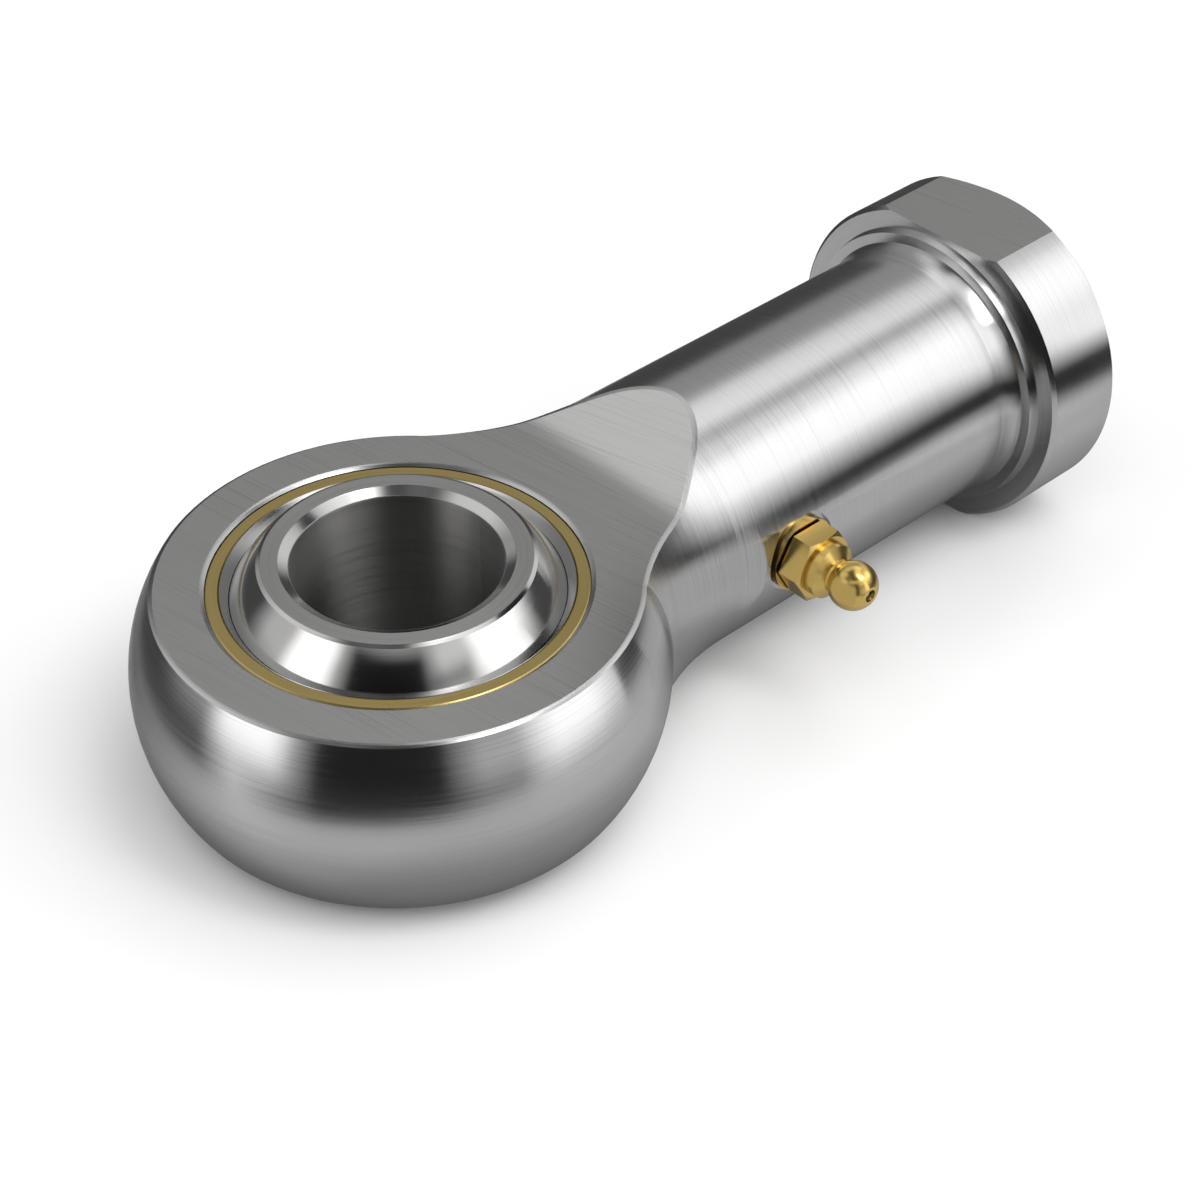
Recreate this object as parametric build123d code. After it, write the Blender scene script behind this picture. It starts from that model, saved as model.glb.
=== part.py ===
from build123d import *
import os
from math import atan, cos, pi, radians, sin, sqrt, tan

# Female rod end: a turned and forged housing with an inside thread in its shank, a
# three-piece spherical bearing and a small grease nipple. Millimetres. The origin is
# the centre of the ball, X runs along the shank, Z along the bore, the nipple is on -Y.

# Length by which a cutting shape passes clear of the faces it cuts
overshoot = 1.0

# Ball
bore_r = 6.0
ball_r = 10.8
ball_half_width = 7.6
bore_chamfer_radial = 0.6
bore_chamfer_axial = 0.35
ball_edge_bevel = 0.12

# Bearing insert: each ring is sized from the one inside it, and its ends from the head's faces
head_half_width = 6.0
insert_recess = 0.16
insert_end_z = head_half_width - insert_recess
insert_middle_half = 3.0
ball_clearance = 0.03
seat_clearance = 0.01
race_bore_r = ball_r + ball_clearance
race_lip_depth = 0.55
race_lip_z = insert_end_z - race_lip_depth
race_lip_r = sqrt(race_bore_r**2 - race_lip_z**2)
race_lip_step = 0.46
race_end_r = race_lip_r + race_lip_step
race_wall = 0.77
race_middle_r = race_bore_r + race_wall
sleeve_end_wall = 0.82
sleeve_end_r = race_end_r + seat_clearance + sleeve_end_wall
sleeve_wall = 0.84
sleeve_middle_r = race_middle_r + seat_clearance + sleeve_wall
sleeve_edge_bevel = 0.1

# Head
hole_edge_step = 0.26
hole_edge_r = sleeve_end_r + hole_edge_step
head_face_width = 2.74
head_rim_r = hole_edge_r + head_face_width
head_wall = 2.97
head_equator_r = sleeve_middle_r + head_wall
outline_bevel = 0.17

# Neck: a hollow curve that leaves the head's rim tangent in plan and ends tangent on the shank
neck_start_angle = 48.0
neck_start_inset = 0.03
neck_root_inset = 1.6
waist_x = 15.6
waist_slope_angle = 23.0
waist_fillet_r = 6.0

# Shank and collar
shank_r = 8.45
collar_face_x = 44.6
ring_length = 0.65
ring_start_x = collar_face_x - ring_length
ring_end_r = 9.55
ring_taper = 0.15
flare_length = 1.55
flare_start_x = ring_start_x - flare_length
flare_height = 0.3
collar_length = 7.05
shank_end_x = collar_face_x + collar_length
collar_r = 10.95
collar_near_chamfer = 0.25
collar_end_chamfer = 1.3
wrench_flat_depth = 1.05
wrench_flat_half = collar_r - wrench_flat_depth

# Threaded hole, kept at the drill size of its thread
thread_drill_r = 5.1
thread_entry_chamfer = 1.2
thread_entry_r = thread_drill_r + thread_entry_chamfer
thread_drill_depth = 24.0
drill_tip_half_angle = 59.0

# Grease ways
grease_r = 0.9
groove_half_width = 1.0
groove_depth = 0.35
feed_hole_r = 0.7
feed_hole_count = 4

# Grease nipple: heights are measured outwards from the shank's axis
nipple_x = 24.0
spot_face_depth = 0.35
spot_face_h = shank_r - spot_face_depth
flange_r = 2.4
flange_margin = 0.25
spot_face_r = flange_r + flange_margin
flange_height = 0.56
flange_top_h = spot_face_h + flange_height
undercut_r = 1.9
undercut_width = 0.14
hex_start_h = flange_top_h + undercut_width
hex_height = 1.53
hex_end_h = hex_start_h + hex_height
hex_across_flats = 4.12
hex_corner_bevel_angle = 30.0
hub_r = 1.76
hub_height = 0.64
hub_end_h = hex_end_h + hub_height
throat_r = 1.1
throat_cone_height = 0.43
throat_h = hub_end_h + throat_cone_height
nose_r = 1.53
nose_rise = 1.25
nose_centre_h = throat_h + nose_rise
nose_tip_height = 1.4
nose_tip_h = nose_centre_h + nose_tip_height
mouth_r = 0.4
mouth_land = 0.35
nipple_bore_r = 0.62
seat_half_angle = 45.0
stem_r = 1.5
stem_clearance = 0.02
stem_length = 3.5
stem_end_h = spot_face_h - stem_length
stem_end_chamfer = 0.2
nipple_hole_extra = 0.3
crimp_r = 0.4
crimp_length = 0.3

# Check ball and spring inside the nipple
check_ball_play = 0.07
check_ball_r = nipple_bore_r - check_ball_play
seat_gap = 0.01
spring_wire_r = 0.09
spring_coil_r = 0.4
spring_turns = 9
spring_end_gap = 0.01


def lathe(edges, axis, plane):
    """A solid of revolution from a closed run of edges drawn in the plane."""
    return revolve(plane * make_face(Curve() + edges), axis)


def polygon_lathe(points, axis, plane):
    """A solid of revolution from a closed polygon."""
    return lathe([Polyline(*points, close=True)], axis, plane)


def mirrored_in_width(points):
    """Adds the lower half to an upper-half run of (radius, z) points."""
    return points + [(r, -z) for r, z in reversed(points)]


def neck_curve():
    """Start point, end point and radius of the neck's arc, from its two tangencies."""
    angle = radians(neck_start_angle)
    start_x = (head_rim_r - neck_start_inset) * cos(angle)
    start_y = (head_rim_r - neck_start_inset) * sin(angle)
    start_r = sqrt(start_y**2 + head_half_width**2)
    turn = atan(start_x / start_r)
    radius = (start_r - shank_r) / (1 - cos(turn))
    end_x = start_x + radius * sin(turn)
    middle_x = end_x - radius * sin(turn / 2)
    middle_r = shank_r + radius * (1 - cos(turn / 2))
    return (start_x, start_r), (middle_x, middle_r), (end_x, shank_r)


def shank_body():
    """The neck, the shank and its collar, turned in one piece."""
    start, middle, end = neck_curve()
    root_x = start[0] - neck_root_inset
    root_r = start[1] - neck_root_inset
    flare_end_r = shank_r + flare_height
    edges = [
        Line((root_x, 0), (root_x, root_r)),
        Line((root_x, root_r), start),
        ThreePointArc(start, middle, end),
        Line(end, (flare_start_x, shank_r)),
        TangentArc((flare_start_x, shank_r), (ring_start_x, flare_end_r), tangent=(1, 0)),
        Polyline(
            (ring_start_x, flare_end_r),
            (ring_start_x, ring_end_r - ring_taper),
            (collar_face_x, ring_end_r),
            (collar_face_x, collar_r - collar_near_chamfer),
            (collar_face_x + collar_near_chamfer, collar_r),
            (shank_end_x - collar_end_chamfer, collar_r),
            (shank_end_x, collar_r - collar_end_chamfer),
            (shank_end_x, 0),
            (root_x, 0),
        ),
    ]
    return lathe(edges, Axis.X, Plane.XY)


def waist_cutter():
    """Everything above the head's flat and the slope that climbs from it to the shank."""
    top = 2 * collar_r
    slope = tan(radians(waist_slope_angle))
    far_z = shank_r + overshoot
    far_x = waist_x + (far_z - head_half_width) / slope
    outline = make_face(
        Polyline(
            (0, head_half_width),
            (waist_x, head_half_width),
            (far_x, far_z),
            (far_x, top),
            (0, top),
            close=True,
        )
    )
    bend = outline.vertices().sort_by_distance((waist_x, head_half_width, 0))[0]
    outline = fillet(bend, waist_fillet_r)
    return extrude(Plane.XZ * outline, collar_r * 2, both=True)


def head_body():
    """The barrel-shaped head, still solid, its two rims bevelled."""
    bottom = (head_rim_r, -head_half_width)
    top = (head_rim_r, head_half_width)
    outline = make_face(
        Curve()
        + [
            Line((0, -head_half_width), bottom),
            ThreePointArc(bottom, (head_equator_r, 0), top),
            Polyline(top, (0, head_half_width), (0, -head_half_width)),
        ]
    )
    rims = outline.vertices().sort_by(Axis.X)[-2:]
    return revolve(Plane.XZ * chamfer(rims, outline_bevel), Axis.Z)


def coned_outline(end_r, middle_r, gap=0.0):
    """Upper half of a coned ring's side, from its end to its straight middle, grown by a gap."""
    return [(end_r + gap, insert_end_z), (middle_r + gap, insert_middle_half)]


def housing_cavity():
    """The hole through the head: a narrow mouth each side, wider in the middle."""
    top = head_half_width + overshoot
    mouth = [(0, top), (hole_edge_r, top), (hole_edge_r, head_half_width)]
    side = coned_outline(sleeve_end_r, sleeve_middle_r, seat_clearance)
    return polygon_lathe(mirrored_in_width(mouth + side), Axis.Z, Plane.XZ)


def wrench_flats():
    """What is cut off the collar above and below, to leave two parallel flats."""
    length = collar_length + overshoot
    height = wrench_flat_depth + overshoot
    corner = (Align.MIN, Align.CENTER, Align.MIN)
    block = Box(length, 2 * collar_r, height, align=corner)
    top = Pos(collar_face_x, 0, wrench_flat_half) * block
    return top + mirror(top, Plane.XY)


def threaded_hole():
    """The blind hole for the inside thread, with its drill point and its entry."""
    bottom_x = shank_end_x - thread_drill_depth
    tip_x = bottom_x - thread_drill_r / tan(radians(drill_tip_half_angle))
    outside_x = shank_end_x + overshoot
    points = [
        (tip_x, 0),
        (bottom_x, thread_drill_r),
        (shank_end_x - thread_entry_chamfer, thread_drill_r),
        (shank_end_x, thread_entry_r),
        (outside_x, thread_entry_r),
        (outside_x, 0),
    ]
    return polygon_lathe(points, Axis.X, Plane.XY)


def nipple_plane():
    """Stands on the shank's axis with its normal out through the nipple."""
    return Plane(origin=(nipple_x, 0, 0), x_dir=(1, 0, 0), z_dir=(0, -1, 0))


def round_along(plane, radius, low, high):
    """A round bar along a plane's normal between two heights."""
    return plane * Pos(0, 0, low) * Cylinder(
        radius, high - low, align=(Align.CENTER, Align.CENTER, Align.MIN)
    )


def grease_ways():
    """The long way from the threaded hole to the insert and the cross hole of the nipple."""
    long_way = round_along(Plane.YZ, grease_r, race_middle_r, shank_end_x - thread_drill_depth)
    seat = nipple_plane()
    hole_r = stem_r + stem_clearance
    hole_bottom = stem_end_h - nipple_hole_extra
    outside_h = shank_r + overshoot
    cross_way = round_along(seat, grease_r, 0, stem_end_h)
    stem_hole = round_along(seat, hole_r, hole_bottom, outside_h)
    spot_face = round_along(seat, spot_face_r, spot_face_h, outside_h)
    return [long_way, cross_way, stem_hole, spot_face]


def flat_edges(shank):
    """The edges where the flats, their bends and slopes meet the round of the neck."""
    slope_end_x = waist_x + shank_r
    curved = [GeomType.BSPLINE, GeomType.HYPERBOLA, GeomType.ELLIPSE]
    return [
        edge
        for edge in shank.edges()
        if edge.geom_type in curved and edge.position_at(0.5).X < slope_end_x
    ]


def make_housing():
    """Head, neck, shank and collar, which are one piece of steel."""
    cutter = waist_cutter()
    shank = shank_body() - cutter - mirror(cutter, Plane.XY)
    shank = chamfer(flat_edges(shank), outline_bevel)
    body = head_body() + shank
    body = body - housing_cavity() - wrench_flats() - threaded_hole()
    for way in grease_ways():
        body = body - way
    return body


def feed_holes(reach):
    """Round ways for the grease, straight out from the centre."""
    hole = Rot(0, 90, 0) * Cylinder(
        feed_hole_r, reach, align=(Align.CENTER, Align.CENTER, Align.MIN)
    )
    step = 360 / feed_hole_count
    return [Rot(0, 0, n * step) * hole for n in range(feed_hole_count)]


def grease_groove(outer_r):
    """A flat groove round the outside of a sleeve."""
    inner_r = outer_r - groove_depth
    points = [
        (inner_r, -groove_half_width),
        (outer_r + overshoot, -groove_half_width),
        (outer_r + overshoot, groove_half_width),
        (inner_r, groove_half_width),
    ]
    return polygon_lathe(points, Axis.Z, Plane.XZ)


def make_race():
    """Hard steel ring whose inside is a sphere round the ball."""
    lip = (race_lip_r, race_lip_z)
    outside = mirrored_in_width([lip] + coned_outline(race_end_r, race_middle_r))
    edges = [
        Polyline(*outside),
        ThreePointArc(outside[-1], (race_bore_r, 0), lip),
    ]
    race = lathe(edges, Axis.Z, Plane.XZ) - grease_groove(race_middle_r)
    for hole in feed_holes(race_middle_r + overshoot):
        race = race - hole
    return race


def cone_point(outline, drop):
    """The point of a coned outline that lies a drop below its end."""
    (end_r, end_z), (middle_r, middle_z) = outline
    spread = (middle_r - end_r) / (end_z - middle_z)
    return (end_r + spread * drop, end_z - drop)


def make_sleeve():
    """Brass sleeve between the race and the housing."""
    bevel = sleeve_edge_bevel
    inside = coned_outline(race_end_r, race_middle_r, seat_clearance)
    outside = coned_outline(sleeve_end_r, sleeve_middle_r)
    upper = [
        inside[1],
        cone_point(inside, bevel),
        (inside[0][0] + bevel, insert_end_z),
        (outside[0][0] - bevel, insert_end_z),
        cone_point(outside, bevel),
        outside[1],
    ]
    lower = [(r, -z) for r, z in reversed(upper)]
    sleeve = polygon_lathe(upper + lower, Axis.Z, Plane.XZ)
    sleeve = sleeve - grease_groove(sleeve_middle_r)
    for hole in feed_holes(sleeve_middle_r + overshoot):
        sleeve = sleeve - hole
    return sleeve


def make_ball():
    """Ball with two flat faces, a bore and its chamfers."""
    face_r = sqrt(ball_r**2 - ball_half_width**2)
    bevel_r = sqrt(ball_r**2 - (ball_half_width - ball_edge_bevel) ** 2)
    upper = [
        (bore_r, ball_half_width - bore_chamfer_axial),
        (bore_r + bore_chamfer_radial, ball_half_width),
        (face_r - ball_edge_bevel, ball_half_width),
        (bevel_r, ball_half_width - ball_edge_bevel),
    ]
    lower = [(r, -z) for r, z in reversed(upper)]
    edges = [
        Polyline(*upper),
        ThreePointArc(upper[-1], (ball_r, 0), lower[0]),
        Polyline(*lower),
        Line(lower[-1], upper[0]),
    ]
    return lathe(edges, Axis.Z, Plane.XZ)


def nipple_outside():
    """Stem, flange, undercut, hub, throat and nose of the nipple, turned."""
    nose_low = (throat_r, nose_centre_h - sqrt(nose_r**2 - throat_r**2))
    tip_r = sqrt(nose_r**2 - nose_tip_height**2)
    hub_root_h = (hex_start_h + hex_end_h) / 2
    edges = [
        Polyline(
            (0, stem_end_h),
            (stem_r - stem_end_chamfer, stem_end_h),
            (stem_r, stem_end_h + stem_end_chamfer),
            (stem_r, spot_face_h),
            (flange_r, spot_face_h),
            (flange_r, flange_top_h),
            (undercut_r, flange_top_h),
            (undercut_r, hub_root_h),
            (hub_r, hub_root_h),
            (hub_r, hub_end_h),
            (throat_r, throat_h),
            nose_low,
        ),
        ThreePointArc(nose_low, (nose_r, nose_centre_h), (tip_r, nose_tip_h)),
        Polyline((tip_r, nose_tip_h), (0, nose_tip_h), (0, stem_end_h)),
    ]
    return lathe(edges, Axis.Z, Plane.XZ)


def nipple_hexagon():
    """The wrench hexagon, its outer corners turned off in a cone."""
    flat_r = hex_across_flats / 2
    corner_r = flat_r / cos(pi / 6)
    outline = RegularPolygon(flat_r, 6, major_radius=False)
    prism = extrude(Pos(0, 0, hex_start_h) * outline, hex_height)
    fall = (corner_r - flat_r) * tan(radians(hex_corner_bevel_angle))
    cone = [
        (0, hex_start_h),
        (corner_r, hex_start_h),
        (corner_r, hex_end_h - fall),
        (flat_r, hex_end_h),
        (0, hex_end_h),
    ]
    return prism & polygon_lathe(cone, Axis.Z, Plane.XZ)


def seat_heights():
    """Where the check ball's seat cone starts and ends, and the ball's centre on it."""
    cone_top = nose_tip_h - mouth_land
    angle = radians(seat_half_angle)
    cone_bottom = cone_top - (nipple_bore_r - mouth_r) / tan(angle)
    apex = cone_top + mouth_r / tan(angle)
    centre = apex - (check_ball_r + seat_gap) / sin(angle)
    return cone_bottom, cone_top, centre


def nipple_inside():
    """Mouth, seat cone, bore and the crimped end of the nipple."""
    cone_bottom, cone_top, centre = seat_heights()
    points = [
        (0, stem_end_h - overshoot),
        (crimp_r, stem_end_h - overshoot),
        (crimp_r, stem_end_h + crimp_length),
        (nipple_bore_r, stem_end_h + crimp_length),
        (nipple_bore_r, cone_bottom),
        (mouth_r, cone_top),
        (mouth_r, nose_tip_h + overshoot),
        (0, nose_tip_h + overshoot),
    ]
    return polygon_lathe(points, Axis.Z, Plane.XZ)


def make_nipple_body():
    """The nipple's own turned body."""
    return nipple_plane() * (nipple_outside() + nipple_hexagon() - nipple_inside())


def make_check_ball():
    """The small ball that closes the nipple's mouth."""
    centre = seat_heights()[2]
    return nipple_plane() * Pos(0, 0, centre) * Sphere(check_ball_r)


def make_spring():
    """The wire spring under the check ball."""
    bottom = stem_end_h + crimp_length + spring_wire_r + spring_end_gap
    reach = check_ball_r + spring_wire_r + spring_end_gap
    top = seat_heights()[2] - sqrt(reach**2 - spring_coil_r**2)
    pitch = (top - bottom) / spring_turns
    path = Helix(pitch, top - bottom, spring_coil_r)
    wire = Plane(origin=path @ 0, z_dir=path % 0) * Circle(spring_wire_r)
    return nipple_plane() * Pos(0, 0, bottom) * sweep(wire, path)


pieces = {
    "housing": make_housing,
    "brass_sleeve": make_sleeve,
    "steel_race": make_race,
    "ball": make_ball,
    "nipple_body": make_nipple_body,
    "nipple_check_ball": make_check_ball,
    "nipple_spring": make_spring,
}

os.makedirs("parts", exist_ok=True)
for name, make in pieces.items():
    export_step(make().solid(), f"parts/{name}.step")
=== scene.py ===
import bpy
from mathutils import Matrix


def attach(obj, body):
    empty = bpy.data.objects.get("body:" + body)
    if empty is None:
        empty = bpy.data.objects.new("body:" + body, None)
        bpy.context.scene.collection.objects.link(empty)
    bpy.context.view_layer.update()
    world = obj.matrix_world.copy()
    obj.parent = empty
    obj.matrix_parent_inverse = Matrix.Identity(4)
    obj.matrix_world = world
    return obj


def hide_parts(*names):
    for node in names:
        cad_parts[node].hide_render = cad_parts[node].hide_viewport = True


bl_info = {
    "name": "Female Rod End",
    "version": (1, 0, 0),
    "blender": (4, 5, 0),
    "location": "View3D > Sidebar > Rod End",
    "description": "Finishes of a rod end: turned steel, brass sleeve and brass nipple",
    "category": "Object",
}

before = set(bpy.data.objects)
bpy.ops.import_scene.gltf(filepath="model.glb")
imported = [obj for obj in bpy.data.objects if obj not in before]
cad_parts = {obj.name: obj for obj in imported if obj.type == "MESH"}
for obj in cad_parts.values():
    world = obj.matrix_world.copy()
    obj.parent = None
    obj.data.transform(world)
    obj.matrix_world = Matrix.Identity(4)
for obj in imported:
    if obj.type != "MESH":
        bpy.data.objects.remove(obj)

from math import cos, pi, radians, sin, tan

import bpy
from bpy.props import FloatProperty, FloatVectorProperty, IntProperty, PointerProperty
from mathutils import Matrix, Vector
from mathutils.kdtree import KDTree

MM = 0.001
BLACK = (0.0, 0.0, 0.0, 1.0)

# Sizes of the solids that the finishes go by, in millimetres. The slope's rise is in
# millimetres for each one along the shank.
BORE_RADIUS = 6.0
BALL_HALF_WIDTH = 7.6
HEAD_HALF_WIDTH = 6.0
HEAD_RIM_RADIUS = 13.74
HEAD_MIDDLE_RADIUS = 15.42
SLOPE_START = 15.6
SLOPE_RISE = tan(radians(23))
COLLAR_FACE = 44.6
SHANK_END = 51.65
WRENCH_FLAT_HALF = 9.9

# How far before a face its finish starts and over what half width one finish passes into
# the next, in millimetres.
FACE_MARGIN = 0.05
BLUR = 0.02

# Grain: how far the milled lines lean, how much slower the noise runs along the lines than
# across them, and how many broad lines there are for each fine one.
MILLED_LEAN = 0.168
ALONG_LINES = 0.1
BROAD_LINES = 0.23

# Thread: half of its angle. Cutting it: how near corners lie that are joined, and the angle
# where smooth shading ends. Normals: how near corners lie that are the same, how alike two
# directions are that belong together, and how far past the root, in metres, the hole reaches.
THREAD_HALF_ANGLE = radians(30)
MERGE_DISTANCE = 1e-7
SMOOTH_ANGLE = radians(10)
SAME_PLACE = 1e-6
SAME_FACING = cos(radians(9))
HOLE_MARGIN = 0.1 * MM


# Settings


def colour_setting(name, about, value):
    """A colour that the user may change."""
    return FloatVectorProperty(
        name=name, description=about, default=value, min=0.0, max=1.0, size=3, subtype="COLOR"
    )


def length_setting(name, about, value):
    """A length that the user may change, in metres."""
    return FloatProperty(name=name, description=about, default=value, unit="LENGTH", precision=5)


def share_setting(name, about, value):
    """A number from 0 to 1 that the user may change."""
    return FloatProperty(name=name, description=about, default=value, min=0.0, max=1.0)


def angle_setting(name, about, value):
    """An angle that the user may change, given here in degrees."""
    return FloatProperty(name=name, description=about, default=radians(value), subtype="ANGLE")


class StudioSettings(bpy.types.PropertyGroup):
    """Floor, light and camera."""

    floor_colour: colour_setting("Floor Colour", "Colour of the floor", (0.92, 0.92, 0.92))
    # Painted shade: the floor that only reflections see has a darker colour than the floor that
    # the camera sees.
    reflected_colour_painted_darker: colour_setting(
        "Reflected Floor", "Colour of the floor in reflections", (0.76, 0.76, 0.76)
    )
    floor_radius: length_setting("Floor Radius", "How far the floor reaches", 3.0)
    backdrop_colour: colour_setting("Backdrop", "Colour behind the floor", (1.0, 1.0, 1.0))
    light_level: FloatProperty(
        name="Light Level", description="Strength of the studio light", default=1.0, min=0.0
    )
    camera_place: FloatVectorProperty(
        name="Camera Place",
        description="Where the camera stands",
        default=(-0.07005, -0.09086, 0.09774),
        size=3,
        subtype="TRANSLATION",
        unit="LENGTH",
    )
    camera_turn: angle_setting("Camera Turn", "Direction of view, round the upright", -43.24)
    camera_height: angle_setting("Camera Height", "How steeply the camera looks down", 39.204)
    camera_roll: angle_setting("Camera Roll", "Turn of the picture", 0.473)
    focal_length: FloatProperty(
        name="Focal Length", description="Focal length in millimetres", default=79.125, min=1.0
    )


class SteelSettings(bpy.types.PropertyGroup):
    """Steel of the housing, the race and the ball."""

    turned_colour: colour_setting("Turned Steel", "Colour of the turned steel", (0.5, 0.5, 0.5))
    flat_colour: colour_setting("Milled Steel", "Colour of the flat faces", (0.42, 0.417, 0.412))
    # Painted light: the slopes are the same milled steel as the flats, given a lighter colour.
    slope_colour_painted_lighter: colour_setting("Milled Slope", "Colour of the slopes", (0.57, 0.566, 0.56))
    polished_colour: colour_setting("Polished Steel", "Colour of the ball", (0.56, 0.555, 0.55))
    # Painted shade: the bore is the same steel given a darker colour.
    bore_colour_painted_darker: colour_setting("Bore", "Colour of the ball's bore", (0.38, 0.375, 0.37))
    turned_roughness: share_setting("Turned Roughness", "Roughness of the turned steel", 0.2)
    flat_roughness: share_setting("Milled Roughness", "Roughness of the flat faces", 0.3)
    polished_roughness: share_setting("Polished Roughness", "Roughness of the ball", 0.13)
    grain_depth: length_setting("Grain Depth", "Depth of the fine lines", 0.0000022)
    grain_per_mm: FloatProperty(
        name="Grain Lines", description="Fine lines in a millimetre", default=13.0, min=0.1
    )


class BrassSettings(bpy.types.PropertyGroup):
    """Brass of the sleeve and the nipple."""

    sleeve_colour: colour_setting("Sleeve Brass", "Colour of the sleeve", (0.47, 0.36, 0.14))
    nipple_colour: colour_setting("Nipple Brass", "Colour of the nipple", (0.64, 0.455, 0.145))
    sleeve_roughness: share_setting("Sleeve Roughness", "Roughness of the sleeve", 0.25)
    nipple_roughness: share_setting("Nipple Roughness", "Roughness of the nipple", 0.22)


class ThreadSettings(bpy.types.PropertyGroup):
    """Thread inside the shank."""

    pitch: length_setting("Pitch", "Distance from turn to turn", 1.75 * MM)
    outer_radius: length_setting("Outer Radius", "Radius of the thread's root", 6.0 * MM)
    inner_radius: length_setting("Inner Radius", "Start of the cut, inside the hole", 4.9 * MM)
    root_width: length_setting("Root Width", "Width of the flat root", 0.22 * MM)
    mouth: length_setting("Mouth", "Place of the shank's open end", SHANK_END * MM)
    start_angle: angle_setting("Start Angle", "Turn of the thread's start round the shank", 2.3)
    turns: IntProperty(name="Turns", description="Whole turns of the thread", default=13, min=1)
    steps: IntProperty(name="Steps", description="Steps in one turn", default=48, min=8)


# Materials


class Graph:
    """Adds nodes to a tree and joins them."""

    def __init__(self, tree):
        self.tree = tree
        tree.nodes.clear()

    def node(self, kind, inputs=None, **settings):
        """One node, its settings and what goes into it."""
        made = self.tree.nodes.new(kind)
        for key, value in settings.items():
            setattr(made, key, value)
        for key, value in (inputs or {}).items():
            socket = made.inputs[key]
            if isinstance(value, bpy.types.NodeSocket):
                self.tree.links.new(value, socket)
            else:
                socket.default_value = value
        return made

    def math(self, operation, *values):
        """A number worked out from others."""
        inputs = dict(enumerate(values))
        return self.node("ShaderNodeMath", inputs, operation=operation).outputs[0]

    def vector(self, x, y, z):
        """A vector from three numbers."""
        return self.node("ShaderNodeCombineXYZ", {0: x, 1: y, 2: z}).outputs[0]

    def map(self, value, source, target):
        """Carries a range of the value over to another range."""
        inputs = {0: value, 1: source[0], 2: source[1], 3: target[0], 4: target[1]}
        return self.node("ShaderNodeMapRange", inputs).outputs[0]

    def above(self, value, edge, blur=BLUR):
        """1 where the value is above the edge and 0 below it."""
        return self.map(value, (edge - blur, edge + blur), (0.0, 1.0))

    def below(self, value, edge, blur=BLUR):
        """1 where the value is below the edge and 0 above it."""
        return self.map(value, (edge - blur, edge + blur), (1.0, 0.0))

    def between(self, value, low, high):
        """1 where the value lies between two edges."""
        return self.math("SUBTRACT", self.above(value, low), self.above(value, high))

    def spread(self, value, low, high):
        """A number from 0 to 1, spread over a range."""
        return self.map(value, (0.0, 1.0), (low, high))

    def distance(self, first, second):
        """Distance from an axis or a point, from two offsets."""
        squares = [self.math("POWER", offset, 2.0) for offset in (first, second)]
        return self.math("SQRT", self.math("ADD", *squares))

    def mix(self, share, first, second, kind="FLOAT"):
        """Goes from the first to the second as the share goes from 0 to 1."""
        keys = {"FLOAT": (0, 2, 3, 0), "VECTOR": (0, 4, 5, 1), "RGBA": (0, 6, 7, 2)}[kind]
        inputs = {keys[0]: share, keys[1]: first, keys[2]: second}
        return self.node("ShaderNodeMix", inputs, data_type=kind).outputs[keys[3]]

    def noise(self, vector, detail=1.0):
        """Smooth noise from 0 to 1."""
        inputs = {"Vector": vector, "Scale": 1.0, "Detail": detail, "Roughness": 0.6}
        return self.node("ShaderNodeTexNoise", inputs, noise_dimensions="3D").outputs[0]


class Place:
    """Where a point of the piece lies, in millimetres."""

    def __init__(self, graph):
        where = graph.node("ShaderNodeTexCoord").outputs["Object"]
        scaled = graph.node("ShaderNodeVectorMath", {0: where, 3: 1 / MM}, operation="SCALE")
        parts = graph.node("ShaderNodeSeparateXYZ", {0: scaled.outputs[0]}).outputs
        self.x, self.y, self.z = parts
        self.side = graph.math("ABSOLUTE", self.z)


def new_material(name):
    """An empty node material."""
    material = bpy.data.materials.new(name)
    material.use_nodes = True
    return material, Graph(material.node_tree)


def grain_lines(graph, across, along, spacing):
    """Coordinates whose noise makes long fine lines: dense across, slow along."""
    fine = graph.math("MULTIPLY", across, spacing)
    slow = [graph.math("MULTIPLY", one, ALONG_LINES) for one in along]
    return graph.vector(fine, slow[0], slow[1])


def bore_rings(graph, steel):
    """Noise of fine circles round the bore."""
    place = Place(graph)
    from_bore = graph.distance(place.x, place.y)
    return graph.noise(grain_lines(graph, from_bore, (place.x, place.y), steel.grain_per_mm))


def nipple_rings(graph, spacing):
    """Noise of fine circles round the nipple's own axis."""
    place = Place(graph)
    return graph.noise(grain_lines(graph, place.y, (place.x, place.z), spacing))


def finish_surface(graph, colour, shade, roughness, grain, depth, spread=None, across=None):
    """Metal whose fine lines change its colour, roughness and height a little, and which
    may spread a reflection across the lines."""
    bump = graph.node("ShaderNodeBump", {"Strength": 1.0, "Distance": depth, "Height": grain})
    look = {
        "Base Color": graph.mix(shade, BLACK, colour, "RGBA"),
        "Metallic": 1.0,
        "Roughness": roughness,
        "Normal": bump.outputs[0],
    }
    if spread is not None:
        look["Anisotropic"] = spread
        look["Tangent"] = across
    surface = graph.node("ShaderNodeBsdfPrincipled", look)
    graph.node("ShaderNodeOutputMaterial", {"Surface": surface.outputs[0]})


def rgba(colour):
    """A colour with full alpha."""
    return (*colour, 1.0)


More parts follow.
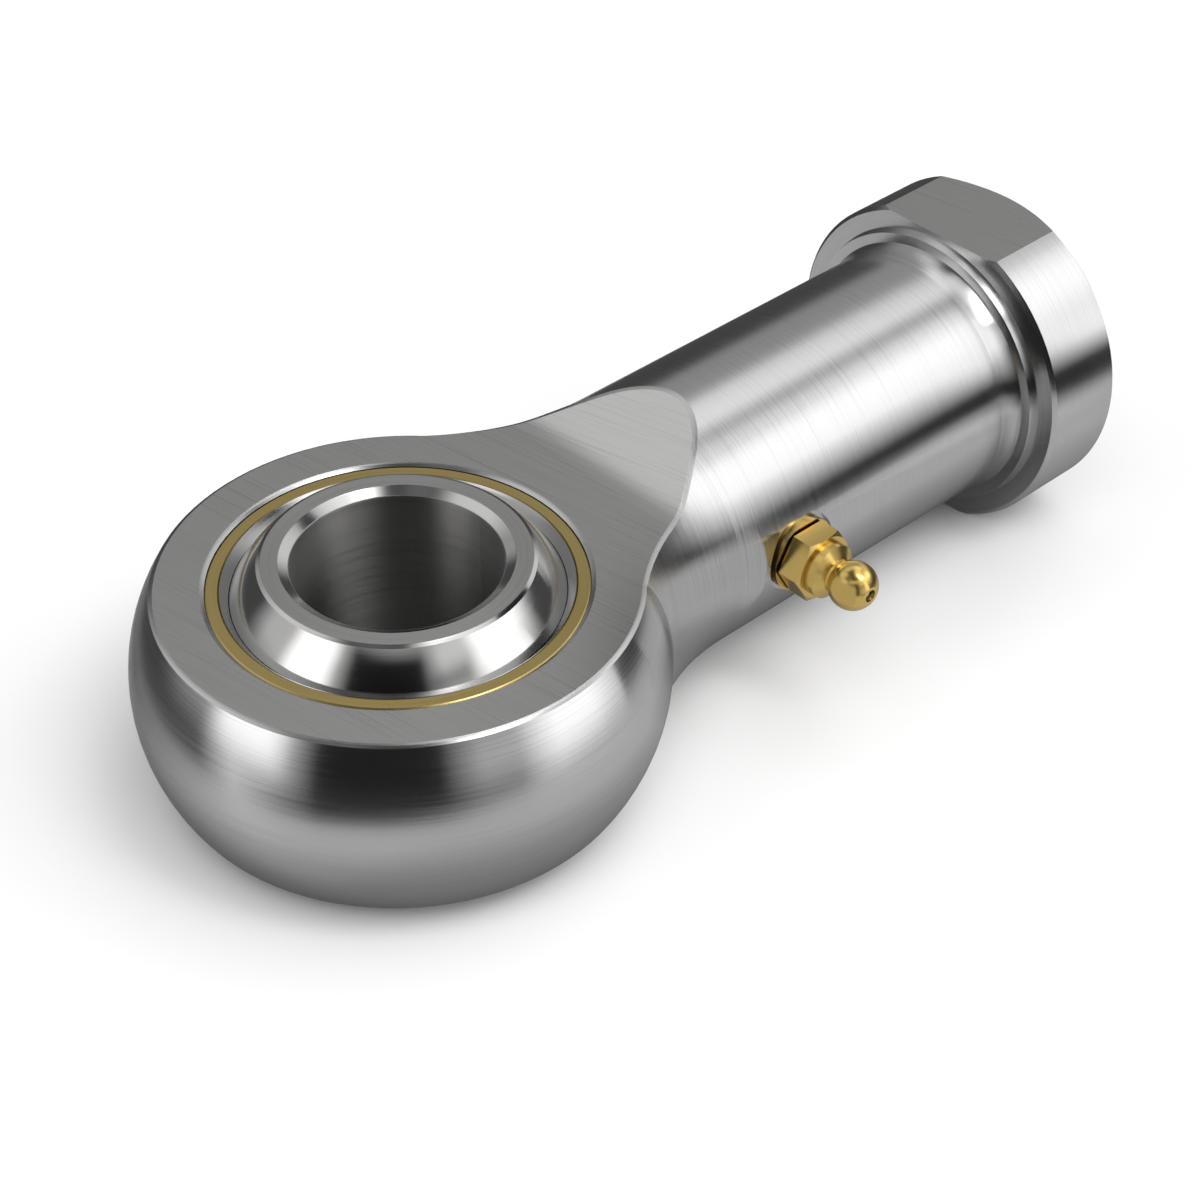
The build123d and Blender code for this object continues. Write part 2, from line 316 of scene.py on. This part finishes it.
def housing_material(steel):
    """Turned shank and head side, milled head faces, slopes painted lighter than the flats, and
    wrench flats.
    """
    material, graph = new_material("turned and milled steel")
    place = Place(graph)
    x, y, z, side = place.x, place.y, place.z, place.side
    from_bore = graph.distance(x, y)
    from_shank = graph.distance(y, z)

    slope = graph.math(
        "MULTIPLY_ADD", x, SLOPE_RISE, HEAD_HALF_WIDTH - SLOPE_START * SLOPE_RISE
    )
    level = graph.math("MAXIMUM", slope, HEAD_HALF_WIDTH)
    head_flat = graph.above(graph.math("SUBTRACT", side, level), -FACE_MARGIN)
    wrench_flat = graph.above(side, WRENCH_FLAT_HALF - BLUR)
    flat = graph.math("MAXIMUM", head_flat, wrench_flat)
    ring_face = graph.between(x, COLLAR_FACE - FACE_MARGIN, COLLAR_FACE + FACE_MARGIN)
    end_face = graph.math("MAXIMUM", ring_face, graph.above(x, SHANK_END - FACE_MARGIN))
    narrowing = (HEAD_RIM_RADIUS - HEAD_MIDDLE_RADIUS) / HEAD_HALF_WIDTH**2
    bulge = graph.math(
        "MULTIPLY_ADD", graph.math("POWER", z, 2.0), narrowing, HEAD_MIDDLE_RADIUS
    )
    barrel = graph.below(graph.math("SUBTRACT", from_bore, bulge), 2 * FACE_MARGIN)
    barrel = graph.math("MULTIPLY", barrel, graph.math("SUBTRACT", 1.0, flat))

    spacing = steel.grain_per_mm
    lines = grain_lines(graph, x, (y, z), spacing)
    slanted = graph.math("MULTIPLY_ADD", y, MILLED_LEAN, x)
    milled = grain_lines(graph, slanted, (y, z), spacing)
    rings = grain_lines(graph, z, (x, y), spacing)
    circles = grain_lines(graph, from_shank, (x, x), spacing)
    way = graph.mix(barrel, lines, rings, "VECTOR")
    way = graph.mix(end_face, way, circles, "VECTOR")
    way = graph.mix(flat, way, milled, "VECTOR")
    broad_way = graph.node("ShaderNodeVectorMath", {0: way, 3: BROAD_LINES}, operation="SCALE")
    broad = graph.noise(broad_way.outputs[0], 2.0)
    grain = graph.mix(graph.mix(flat, 0.06, 0.15), graph.noise(way), broad)

    # Painted light: the slopes get a lighter colour than the flat faces.
    flat_colour = graph.mix(
        graph.above(x, SLOPE_START, 0.5),
        rgba(steel.flat_colour),
        rgba(steel.slope_colour_painted_lighter),
        "RGBA",
    )
    flat_colour = graph.mix(wrench_flat, flat_colour, rgba(steel.flat_colour), "RGBA")
    colour = graph.mix(flat, rgba(steel.turned_colour), flat_colour, "RGBA")
    base = graph.mix(flat, steel.turned_roughness, steel.flat_roughness)
    roughness = graph.math("MULTIPLY", base, graph.spread(grain, 0.75, 1.25))
    shade = graph.spread(grain, graph.mix(flat, 0.76, 0.68), graph.mix(flat, 1.24, 1.32))
    across = graph.mix(barrel, (1, 0, 0), (0, 0, 1), "VECTOR")
    across = graph.mix(end_face, across, graph.vector(0.0, y, z), "VECTOR")
    spread = graph.mix(flat, 0.75, 0.55)
    finish_surface(graph, colour, shade, roughness, grain, steel.grain_depth, spread, across)
    return material


def race_material(steel):
    """Ground steel with fine rings."""
    material, graph = new_material("ground steel ring")
    grain = bore_rings(graph, steel)
    roughness = graph.spread(grain, 0.14, 0.24)
    shade = graph.spread(grain, 0.94, 1.06)
    finish_surface(graph, rgba(steel.turned_colour), shade, roughness, grain, steel.grain_depth)
    return material


def ball_material(steel):
    """Polished outside, faces with fine circles, bore with fine turned lines and a painted shade.
    """
    material, graph = new_material("polished ball steel")
    place = Place(graph)
    from_bore = graph.distance(place.x, place.y)
    face = graph.above(place.side, BALL_HALF_WIDTH - 0.015, 0.01)
    bore = graph.below(from_bore, BORE_RADIUS + 0.04, 0.01)
    worked = graph.math("MAXIMUM", face, bore)
    circles = grain_lines(graph, from_bore, (place.x, place.y), steel.grain_per_mm)
    rings = grain_lines(graph, place.z, (place.x, place.y), steel.grain_per_mm)
    grain = graph.noise(graph.mix(face, rings, circles, "VECTOR"))
    height = graph.math("MULTIPLY", grain, graph.mix(worked, 0.12, 1.0))
    base = graph.mix(face, steel.polished_roughness, 0.22)
    base = graph.mix(bore, base, 0.4)
    roughness = graph.math("MULTIPLY", base, graph.spread(grain, 0.8, 1.2))
    contrast = graph.mix(worked, 0.04, 0.14)
    shade = graph.math("MULTIPLY_ADD", graph.spread(grain, -1.0, 1.0), contrast, 1.0)
    colour = graph.mix(face, rgba(steel.polished_colour), rgba(steel.flat_colour), "RGBA")
    # Painted shade: the bore gets a darker colour than the polished outside.
    colour = graph.mix(bore, colour, rgba(steel.bore_colour_painted_darker), "RGBA")
    across = graph.mix(face, (0, 0, 1), graph.vector(place.x, place.y, 0.0), "VECTOR")
    spread = graph.mix(bore, graph.math("MULTIPLY", face, 0.6), 0.95)
    finish_surface(graph, colour, shade, roughness, height, steel.grain_depth, spread, across)
    return material


def sleeve_material(brass, steel):
    """Turned brass with fine rings."""
    material, graph = new_material("turned sleeve brass")
    grain = bore_rings(graph, steel)
    roughness = graph.math("MULTIPLY", graph.spread(grain, 0.8, 1.2), brass.sleeve_roughness)
    shade = graph.spread(grain, 0.85, 1.15)
    finish_surface(graph, rgba(brass.sleeve_colour), shade, roughness, grain, steel.grain_depth)
    return material


def nipple_material(brass, steel):
    """Turned brass with rings round the nipple's own axis, with painted shade where it is closed
    in.
    """
    material, graph = new_material("turned nipple brass")
    grain = nipple_rings(graph, steel.grain_per_mm)
    roughness = graph.math("MULTIPLY", graph.spread(grain, 0.85, 1.15), brass.nipple_roughness)
    # Painted shade: the colour darkens in creases and recesses, by how closed in each point is.
    open_share = graph.node("ShaderNodeAmbientOcclusion", {"Distance": 0.5 * MM}, samples=8)
    painted_crease_shade = graph.map(open_share.outputs["AO"], (0.2, 0.6), (0.06, 1.0))
    shade = graph.math("MULTIPLY", graph.spread(grain, 0.94, 1.06), painted_crease_shade)
    depth = steel.grain_depth * 0.15
    finish_surface(graph, rgba(brass.nipple_colour), shade, roughness, grain, depth)
    return material


def small_steel_material(steel):
    """Steel of the check ball and the spring."""
    material, graph = new_material("small bright steel")
    grain = nipple_rings(graph, spacing=3.0)
    roughness = graph.spread(grain, 0.14, 0.24)
    shade = graph.spread(grain, 0.9, 1.1)
    finish_surface(graph, rgba(steel.polished_colour), shade, roughness, grain, steel.grain_depth)
    return material


def dress(node_name, material):
    """Gives a node of the frame its finish."""
    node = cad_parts[node_name]
    if not node.material_slots:
        raise RuntimeError(f"{node_name} has no material slot")
    for slot in node.material_slots:
        slot.material = material


# Studio


# Floor: its tilt, where the collar touches it, its middle and, for the disc that only
# reflections see, its radius and the middle of its pattern. Lengths are in millimetres.
FLOOR_TILT = radians(2.52)
FLOOR_TOUCH = (44.85, 0.0, -9.9)
FLOOR_MIDDLE = (22.0, 0.0, 0.0)
MIRRORED_RADIUS = 70.0
PATTERN_MIDDLE = (22.0, -10.0)

# Upright cards that only reflections see, each between two corners in millimetres.
GRADED_FLAG = ((33, -32, -14), (84, -32, 22))
BORE_SHADE = ((20, -16, 20), (20, 4, 36))
NIPPLE_SHADE = ((21.2, -16.5, -5.5), (21.2, -8.6, 3.6))

# The round lamp overhead: its place and the way from its target to it, in millimetres, its
# width in metres and its power in watts.
LAMP_PLACE = (-140, -200, 430)
LAMP_WAY = (-160, -200, 430)
LAMP_WIDTH = 0.4
LAMP_POWER = 0.85

# Camera: its sensor's width in millimetres, and the nearest and furthest that it sees, in
# metres.
SENSOR_WIDTH = 36.0
NEAREST = 0.005
FURTHEST = 20.0

# Soft boxes and panels round the object, later ones in front of earlier ones. Each has its
# heading and half width, its lower and upper edge, all in degrees, its brightness, and the
# blur of its sides, its lower and its upper edge.
PANELS = (
    ("dark wall behind", 92, 62, -26, 22, 0.08, (8, 3, 8)),
    ("grey wall behind", 62, 40, 20, 47, 0.45, (8, 6, 6)),
    ("wall behind on the left", 139, 16, 0, 40, 0.72, (8, 12, 6)),
    ("dark wall on the right", 15, 42, -26, 17, 0.08, (5, 3, 5)),
    ("gap beside the ceiling light", -8, 9, 38, 62, 0.62, (6, 6, 6)),
    ("ceiling light", 19, 19, 45, 62, 1.6, (7, 5, 5)),
    ("grey panel by the camera", -94, 20, -8, 16, 0.75, (9, 8, 6)),
    ("dim panel by the camera", -94, 18, 16, 32, 0.4, (9, 6, 6)),
    ("dark skirting on the left", -172, 16, -29, -11, 0.32, (9, 4, 5)),
    ("upper grey panel by the camera", -94, 22, 32, 48, 0.95, (8, 6, 5)),
    ("dark skirting by the camera", -98, 22, -26, -8, 0.1, (8, 3, 8)),
    ("light overhead", -30, 62, 60, 84, 1.35, (12, 5, 5)),
    ("dark ceiling over the camera", -125, 40, 46, 76, 0.02, (12, 4, 6)),
    ("pale strip over the camera", -128, 42, 47, 56, 1.1, (10, 3, 4)),
    ("top soft box on the right", -66, 14, 49, 76, 6.5, (7, 3, 5)),
    ("dark ceiling on the left", 172, 24, 46, 84, 0.2, (12, 4, 8)),
    ("black panel by the camera", -139, 32, -28, 44, 0.01, (8, 2, 4)),
    ("high soft box on the right", -42, 32, 22, 44.5, 2.1, (6, 5, 4)),
    ("low soft box on the right", -57, 18, -10, 28, 2.1, (9, 6, 4)),
    ("soft box on the left", 167, 15, -4, 42, 2.1, (5, 6, 5)),
)


def from_heading(graph, heading, centre):
    """How far a heading lies from another, in degrees."""
    off = graph.math("SUBTRACT", heading, float(centre))
    return graph.math("ABSOLUTE", graph.math("WRAP", off, 180.0, -180.0))


def studio_light(graph, level):
    """Light by direction: soft boxes, dark panels and a pale lower half."""
    way = graph.node("ShaderNodeTexCoord").outputs["Generated"]
    x, y, z = graph.node("ShaderNodeSeparateXYZ", {0: way}).outputs
    heading = graph.math("MULTIPLY", graph.math("ARCTAN2", y, x), 180 / pi)
    height = graph.math("MULTIPLY", graph.math("ARCSINE", z), 180 / pi)

    # The lower half is darker straight down and towards heading 50, behind the object.
    low = graph.map(height, (-85.0, -45.0), (0.4, 0.8))
    from_back = graph.map(from_heading(graph, heading, 50), (40.0, 110.0), (0.12, 1.0))
    low = graph.math("MULTIPLY", low, from_back)
    sky = graph.map(height, (62.0, 72.0), (0.95, 0.1))
    sky = graph.mix(graph.above(height, -25.0, 6.0), low, sky)

    for _, centre, half, lowest, highest, bright, blurs in PANELS:
        inside = graph.below(from_heading(graph, heading, centre), half, blurs[0])
        over = graph.above(height, lowest, blurs[1])
        under = graph.below(height, highest, blurs[2])
        share = graph.math("MULTIPLY", inside, graph.math("MINIMUM", over, under))
        sky = graph.mix(share, sky, bright)
    light = graph.node("ShaderNodeBackground", {"Color": sky, "Strength": level})
    graph.node("ShaderNodeOutputWorld", {"Surface": light.outputs[0]})


def only_seen_by(thing, camera=False, diffuse=False, glossy=False):
    """Sets which rays meet a piece of the stage."""
    thing.visible_camera = camera
    thing.visible_diffuse = diffuse
    thing.visible_glossy = glossy
    thing.visible_transmission = False
    thing.visible_shadow = False
    thing.visible_volume_scatter = False


def glowing_material(name, colour):
    """A surface that only gives out light."""
    material, graph = new_material(name)
    glow = graph.node("ShaderNodeEmission", {"Color": rgba(colour)})
    graph.node("ShaderNodeOutputMaterial", {"Surface": glow.outputs[0]})
    return material


def partly_seen(graph, clear, surface):
    """Shows a surface, less so as the share that is clear goes from 0 to 1."""
    nothing = graph.node("ShaderNodeBsdfTransparent").outputs[0]
    both = graph.node("ShaderNodeMixShader", {0: clear, 1: surface, 2: nothing}).outputs[0]
    graph.node("ShaderNodeOutputMaterial", {"Surface": both})


def matt_material(name, colour):
    """A matt surface."""
    material, graph = new_material(name)
    look = {"Base Color": rgba(colour), "Roughness": 1.0, "Specular IOR Level": 0.0}
    matt = graph.node("ShaderNodeBsdfPrincipled", look)
    graph.node("ShaderNodeOutputMaterial", {"Surface": matt.outputs[0]})
    return material


def painted_shadow_floor_material(colour):
    """Pale floor with a painted shadow: dark under the bore, dimmer close to the piece, gone
    further out.
    """
    material, graph = new_material("floor with painted shadow")
    where = graph.node("ShaderNodeNewGeometry").outputs["Position"]
    parts = graph.node("ShaderNodeSeparateXYZ", {0: where}).outputs
    x, y = [graph.math("MULTIPLY", parts[n], 1 / MM) for n in range(2)]
    from_bore = graph.distance(x, y)

    # How far a point lies from a disc of 14 mm under the head and a strip, 6 mm to each
    # side, under the shank.
    from_head = graph.math("SUBTRACT", from_bore, 14.0)
    from_shank = graph.math("SUBTRACT", graph.math("ABSOLUTE", y), 6.0)
    behind = graph.math("MAXIMUM", from_shank, graph.math("MULTIPLY", x, -1.0))
    away = graph.math("MINIMUM", from_head, behind)
    # Painted shadow: the colour darkens close to the head and the shank, and goes black under the
    # bore.
    painted_shadow = graph.map(away, (-1.0, 11.0), (0.3, 1.0))
    painted_shadow = graph.math("MULTIPLY", painted_shadow, graph.map(from_bore, (8.0, 11.0), (0.0, 1.0)))
    shade = graph.mix(painted_shadow, BLACK, rgba(colour), "RGBA")

    offsets = [graph.math("SUBTRACT", one, at) for one, at in zip((x, y), PATTERN_MIDDLE)]
    clear = graph.map(graph.distance(*offsets), (34.0, 50.0), (0.0, 1.0))
    matt = graph.node("ShaderNodeBsdfDiffuse", {"Color": shade}).outputs[0]
    partly_seen(graph, clear, matt)
    return material


def rise(graph, height, share, starts, ends):
    """Rises from 0 to 1 between two heights. Each height is given for share 0 and share 1."""
    source = graph.spread(share, *starts), graph.spread(share, *ends)
    return graph.map(height, source, (0.0, 1.0))


def graded_material():
    """Black band with soft edges, lower and sharper towards the collar."""
    material, graph = new_material("graded flag")
    place = Place(graph)
    collar = graph.map(place.x, (61.0, 69.0), (0.0, 1.0))
    over = rise(graph, place.z, collar, (3.0, 1.0), (20.5, 8.5))
    under = rise(graph, place.z, collar, (-1.0, -6.0), (-9.0, -13.0))
    black = graph.node("ShaderNodeEmission", {"Color": rgba([0.02] * 3)}).outputs[0]
    partly_seen(graph, graph.math("MAXIMUM", over, under), black)
    return material


def soft_card_material():
    """Grey card that fades away towards its upper and lower edges."""
    material, graph = new_material("grey card")
    height = Place(graph).z
    over = graph.map(height, (1.8, 3.6), (0.0, 1.0))
    under = graph.map(height, (-5.5, -2.0), (1.0, 0.0))
    grey = graph.node("ShaderNodeEmission", {"Color": rgba([0.62] * 3)}).outputs[0]
    partly_seen(graph, graph.math("MAXIMUM", over, under), grey)
    return material


# Operators


class RODEND_OT_stage(bpy.types.Operator):
    """Floor, backdrop and studio light."""

    bl_idname = "rodend.stage"
    bl_label = "Stage"

    def disc(self, name, radius, material):
        """A disc that touches the collar's flat and the ball's lower face."""
        middle, touch = Vector(FLOOR_MIDDLE) * MM, Vector(FLOOR_TOUCH) * MM
        normal = Vector((sin(FLOOR_TILT), 0, cos(FLOOR_TILT)))
        bpy.ops.mesh.primitive_circle_add(
            vertices=96,
            radius=radius,
            fill_type="NGON",
            location=middle - normal * (middle - touch).dot(normal),
            rotation=(0, FLOOR_TILT, 0),
        )
        made = bpy.context.active_object
        made.name = name
        made.data.materials.append(material)
        return made

    def card(self, name, ends, material):
        """An upright card that only reflections see, along X or along Y."""
        low, high = [Vector(end) * MM for end in ends]
        along_x = high.x > low.x
        width = high.x - low.x if along_x else high.y - low.y
        bpy.ops.mesh.primitive_plane_add(
            size=1.0, location=(low + high) / 2, rotation=(pi / 2, 0, 0 if along_x else pi / 2)
        )
        made = bpy.context.active_object
        made.name = name
        made.scale = (width, high.z - low.z, 1)
        bpy.ops.object.transform_apply(location=True, rotation=True, scale=True)
        made.data.materials.append(material)
        only_seen_by(made, glossy=True)
        return made

    def backdrop(self, studio):
        """A glowing sphere round everything, which only the camera sees."""
        bpy.ops.mesh.primitive_uv_sphere_add(
            segments=48, ring_count=24, radius=studio.floor_radius * 1.2
        )
        made = bpy.context.active_object
        made.name = "backdrop"
        made.data.materials.append(glowing_material("pale backdrop", studio.backdrop_colour))
        only_seen_by(made, camera=True)
        return made

    def lamp(self):
        """A round lamp for the shadow, which no reflection shows."""
        bpy.ops.object.light_add(type="AREA", location=Vector(LAMP_PLACE) * MM)
        made = bpy.context.active_object
        made.name = "overhead_light"
        made.rotation_euler = Vector(LAMP_WAY).to_track_quat("Z", "Y").to_euler()
        made.data.shape = "DISK"
        made.data.size = LAMP_WIDTH
        made.data.energy = LAMP_POWER
        made.visible_glossy = False
        made.visible_camera = False
        return made

    def execute(self, context):
        studio = context.scene.rodend_studio
        bpy.ops.object.select_all(action="DESELECT")
        matt = matt_material("floor", studio.floor_colour)
        floor = self.disc("floor", studio.floor_radius, matt)
        only_seen_by(floor, camera=True, diffuse=True)
        # The floor that only reflections see carries a painted shadow.
        painted_shadow_floor = painted_shadow_floor_material(studio.reflected_colour_painted_darker)
        mirrored = self.disc("floor_in_reflections", MIRRORED_RADIUS * MM, painted_shadow_floor)
        only_seen_by(mirrored, glossy=True)
        backdrop = self.backdrop(studio)
        flag = self.card("graded_flag", GRADED_FLAG, graded_material())
        black = glowing_material("black card", (0.01, 0.01, 0.01))
        shade = self.card("bore_shade", BORE_SHADE, black)
        lamp = self.lamp()
        screen = self.card("nipple_shade", NIPPLE_SHADE, soft_card_material())

        world = bpy.data.worlds.new("studio")
        world.use_nodes = True
        context.scene.world = world
        studio_light(Graph(world.node_tree), studio.light_level)
        context.scene.view_settings.view_transform = "Standard"
        return {"FINISHED"}


class RODEND_OT_camera(bpy.types.Operator):
    """Camera at the photograph's place."""

    bl_idname = "rodend.camera"
    bl_label = "Camera"

    def execute(self, context):
        studio = context.scene.rodend_studio
        camera = bpy.data.objects.new("camera", bpy.data.cameras.new("camera"))
        context.scene.collection.objects.link(camera)
        camera.data.lens = studio.focal_length
        camera.data.sensor_width = SENSOR_WIDTH
        camera.data.clip_start = NEAREST
        camera.data.clip_end = FURTHEST
        turn = Matrix.Rotation(studio.camera_turn, 4, "Z")
        tip = Matrix.Rotation(pi / 2 - studio.camera_height, 4, "X")
        roll = Matrix.Rotation(studio.camera_roll, 4, "Z")
        camera.matrix_world = Matrix.Translation(studio.camera_place) @ turn @ tip @ roll
        context.scene.camera = camera
        return {"FINISHED"}


def only(thing):
    """Makes one object the active one and the only selected one."""
    bpy.ops.object.select_all(action="DESELECT")
    thing.select_set(True)
    bpy.context.view_layer.objects.active = thing


def merged_copy(node_name, name):
    """A copy of a node's mesh in place, its corners joined."""
    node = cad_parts[node_name]
    mesh = node.data.copy()
    mesh.transform(node.matrix_world)
    made = bpy.data.objects.new(name, mesh)
    bpy.context.scene.collection.objects.link(made)
    only(made)
    bpy.ops.object.mode_set(mode="EDIT")
    bpy.ops.mesh.select_all(action="SELECT")
    bpy.ops.mesh.remove_doubles(threshold=MERGE_DISTANCE)
    bpy.ops.mesh.normals_make_consistent(inside=False)
    bpy.ops.object.mode_set(mode="OBJECT")
    return made


def apply_all(thing):
    """Applies the object's modifiers in order."""
    only(thing)
    for modifier in list(thing.modifiers):
        bpy.ops.object.modifier_apply(modifier=modifier.name)


def thread_cutter(thread):
    """A closed bar wound round the X axis, with the thread's profile."""
    height = thread.outer_radius - thread.inner_radius
    base_width = thread.root_width + 2 * height * tan(THREAD_HALF_ANGLE)
    start = thread.mouth + thread.pitch
    middle = (thread.outer_radius + thread.inner_radius) / 2
    bpy.ops.mesh.primitive_plane_add(
        size=1.0, location=(start, 0, middle), rotation=(pi / 2, 0, 0)
    )
    cutter = bpy.context.active_object
    cutter.name = "thread_cutter"
    cutter.scale = (base_width, height, 1)
    bpy.ops.object.transform_apply(location=True, rotation=True, scale=True)
    bpy.ops.object.mode_set(mode="EDIT")
    bpy.ops.mesh.select_mode(type="VERT")
    bpy.ops.mesh.select_all(action="DESELECT")
    bpy.ops.object.mode_set(mode="OBJECT")
    for vertex in cutter.data.vertices:
        vertex.select = vertex.co.z > middle
    bpy.ops.object.mode_set(mode="EDIT")
    bpy.ops.transform.resize(
        value=(thread.root_width / base_width, 1, 1), center_override=(start, 0, middle)
    )
    bpy.ops.mesh.select_all(action="SELECT")
    bpy.ops.mesh.delete(type="ONLY_FACE")
    bpy.ops.object.mode_set(mode="OBJECT")
    screw = cutter.modifiers.new("screw", "SCREW")
    screw.axis = "X"
    screw.screw_offset = -thread.pitch
    screw.iterations = thread.turns
    screw.steps = screw.render_steps = thread.steps
    screw.use_normal_calculate = True
    apply_all(cutter)
    bpy.ops.object.mode_set(mode="EDIT")
    bpy.ops.mesh.select_all(action="SELECT")
    bpy.ops.mesh.fill_holes(sides=4)
    bpy.ops.mesh.select_all(action="SELECT")
    bpy.ops.mesh.normals_make_consistent(inside=False)
    bpy.ops.object.mode_set(mode="OBJECT")
    cutter.rotation_euler.x = thread.start_angle
    return cutter


class RODEND_OT_housing(bpy.types.Operator):
    """Housing with its inside thread cut, and its finish."""

    bl_idname = "rodend.housing"
    bl_label = "Housing"

    def hole_normal(self, point, facing):
        """Exact normal of the drilled wall, thread root or entry cone, none on a flank."""
        inwards = Vector((0, -point.y, -point.z)).normalized()
        for normal in (inwards, (inwards + Vector((1, 0, 0))).normalized()):
            if facing.dot(normal) > SAME_FACING:
                return normal
        return Vector((0, 0, 0))

    def keep_normals(self, housing, thread):
        """Gives each corner away from the thread the normal that its CAD node has there."""
        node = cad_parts["housing"]
        source, place = node.data, node.matrix_world
        turn = place.to_3x3().normalized()
        normals = [turn @ corner.vector for corner in source.corner_normals]
        facing = [None] * len(source.loops)
        tree = KDTree(len(source.loops))
        for face in source.polygons:
            for corner in face.loop_indices:
                point = source.vertices[source.loops[corner].vertex_index].co
                tree.insert(place @ point, corner)
                facing[corner] = turn @ face.normal
        tree.balance()

        mesh = housing.data
        reach = thread.outer_radius + HOLE_MARGIN
        bottom = thread.mouth - (thread.turns + 1) * thread.pitch
        kept = [Vector((0, 0, 0))] * len(mesh.loops)
        for face in mesh.polygons:
            for corner in face.loop_indices:
                point = mesh.vertices[mesh.loops[corner].vertex_index].co
                if point.x > bottom and Vector((point.y, point.z)).length < reach:
                    kept[corner] = self.hole_normal(point, face.normal)
                    continue
                found = tree.find_range(point, SAME_PLACE)
                if found:
                    best = max(found, key=lambda near: facing[near[1]].dot(face.normal))
                    kept[corner] = normals[best[1]]
        mesh.normals_split_custom_set(kept)

    def execute(self, context):
        thread = context.scene.rodend_thread
        bpy.ops.object.select_all(action="DESELECT")
        cutter = thread_cutter(thread)
        housing = merged_copy("housing", "threaded_housing")
        cut = housing.modifiers.new("thread", "BOOLEAN")
        cut.operation = "DIFFERENCE"
        cut.solver = "EXACT"
        cut.object = cutter
        apply_all(housing)
        bpy.data.objects.remove(cutter)
        only(housing)
        bpy.ops.object.shade_smooth_by_angle(angle=SMOOTH_ANGLE)
        self.keep_normals(housing, thread)
        housing.data.materials.clear()
        housing.data.materials.append(housing_material(context.scene.rodend_steel))
        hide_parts("housing")
        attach(housing, "housing")
        return {"FINISHED"}


class RODEND_OT_bearing(bpy.types.Operator):
    """Finishes of the sleeve, the race and the ball."""

    bl_idname = "rodend.bearing"
    bl_label = "Bearing"

    def execute(self, context):
        steel = context.scene.rodend_steel
        dress("brass_sleeve", sleeve_material(context.scene.rodend_brass, steel))
        dress("steel_race", race_material(steel))
        dress("ball", ball_material(steel))
        return {"FINISHED"}


class RODEND_OT_nipple(bpy.types.Operator):
    """Finishes of the grease nipple, its check ball and its spring."""

    bl_idname = "rodend.nipple"
    bl_label = "Grease Nipple"

    def execute(self, context):
        steel = context.scene.rodend_steel
        dress("nipple_body", nipple_material(context.scene.rodend_brass, steel))
        small = small_steel_material(steel)
        dress("nipple_check_ball", small)
        dress("nipple_spring", small)
        return {"FINISHED"}


class RODEND_PT_panel(bpy.types.Panel):
    """Lists the steps and their settings."""

    bl_idname = "RODEND_PT_panel"
    bl_label = "Female Rod End"
    bl_space_type = "VIEW_3D"
    bl_region_type = "UI"
    bl_category = "Rod End"

    def draw(self, context):
        for step in STEPS:
            self.layout.operator(step.bl_idname)
        for group in (
            context.scene.rodend_studio,
            context.scene.rodend_steel,
            context.scene.rodend_brass,
            context.scene.rodend_thread,
        ):
            box = self.layout.box()
            for key in group.bl_rna.properties.keys():
                if key not in ("rna_type", "name"):
                    box.prop(group, key)


STEPS = (
    RODEND_OT_stage,
    RODEND_OT_camera,
    RODEND_OT_housing,
    RODEND_OT_bearing,
    RODEND_OT_nipple,
)
CLASSES = (
    StudioSettings,
    SteelSettings,
    BrassSettings,
    ThreadSettings,
    *STEPS,
    RODEND_PT_panel,
)


def register():
    for one in CLASSES:
        bpy.utils.register_class(one)
    bpy.types.Scene.rodend_studio = PointerProperty(type=StudioSettings)
    bpy.types.Scene.rodend_steel = PointerProperty(type=SteelSettings)
    bpy.types.Scene.rodend_brass = PointerProperty(type=BrassSettings)
    bpy.types.Scene.rodend_thread = PointerProperty(type=ThreadSettings)


def unregister():
    del bpy.types.Scene.rodend_thread
    del bpy.types.Scene.rodend_brass
    del bpy.types.Scene.rodend_steel
    del bpy.types.Scene.rodend_studio
    for one in reversed(CLASSES):
        bpy.utils.unregister_class(one)


def main():
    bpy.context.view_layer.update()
    register()
    bpy.ops.rodend.stage()
    bpy.ops.rodend.camera()
    bpy.ops.rodend.housing()
    bpy.ops.rodend.bearing()
    bpy.ops.rodend.nipple()


if __name__ == "__main__":
    main()
